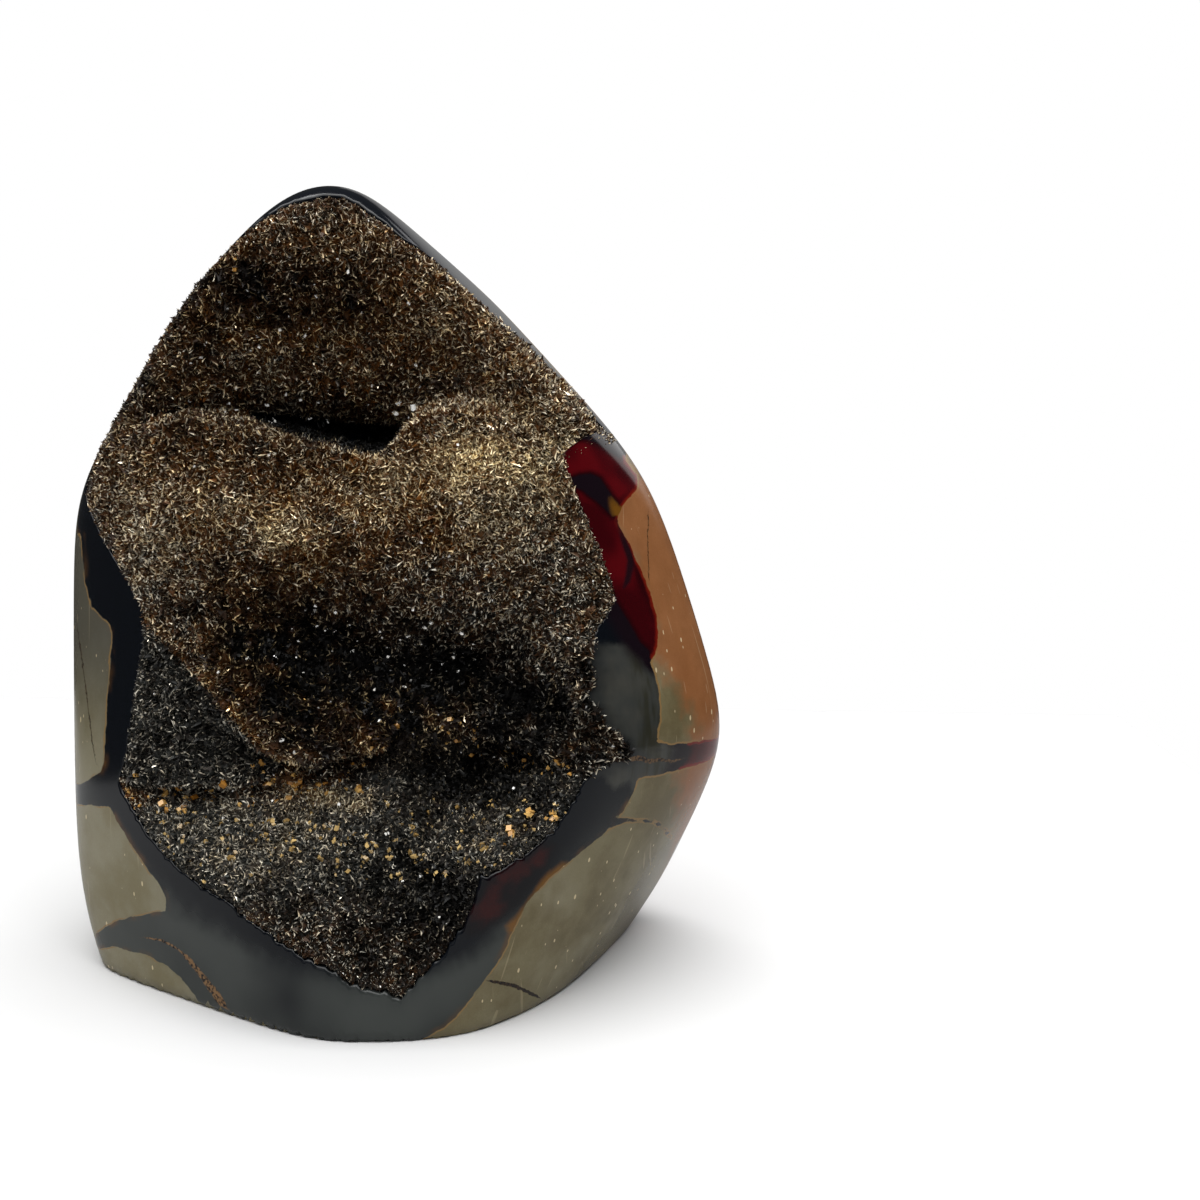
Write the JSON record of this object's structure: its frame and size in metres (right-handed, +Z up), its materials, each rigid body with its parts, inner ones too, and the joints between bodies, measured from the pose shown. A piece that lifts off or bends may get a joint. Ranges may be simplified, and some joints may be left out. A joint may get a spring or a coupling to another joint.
{
  "type": "septarian nodule",
  "caption": "Freestanding polished septarian nodule, ground to a blunt flame shape on a flat base, its front open on a hollow lined with fine crystals.",
  "frame": {"origin": "middle of the outer box, on the ground flat base", "axes": "+Z up, along the height; +Y away from the open side; +X to the right as seen from the open side"},
  "size_m": [0.095, 0.066, 0.1104],
  "materials": {
    "polished_stone": "polished grey-olive mudstone with flush near-black and dark red calcite",
    "crystal_crust": "fine drusy calcite crystals, tan, brown and charcoal, glittering"
  },
  "bodies": {
    "root": {"nodule": "polished_stone", "druse_crust": "crystal_crust"}
  },
  "joints": []
}
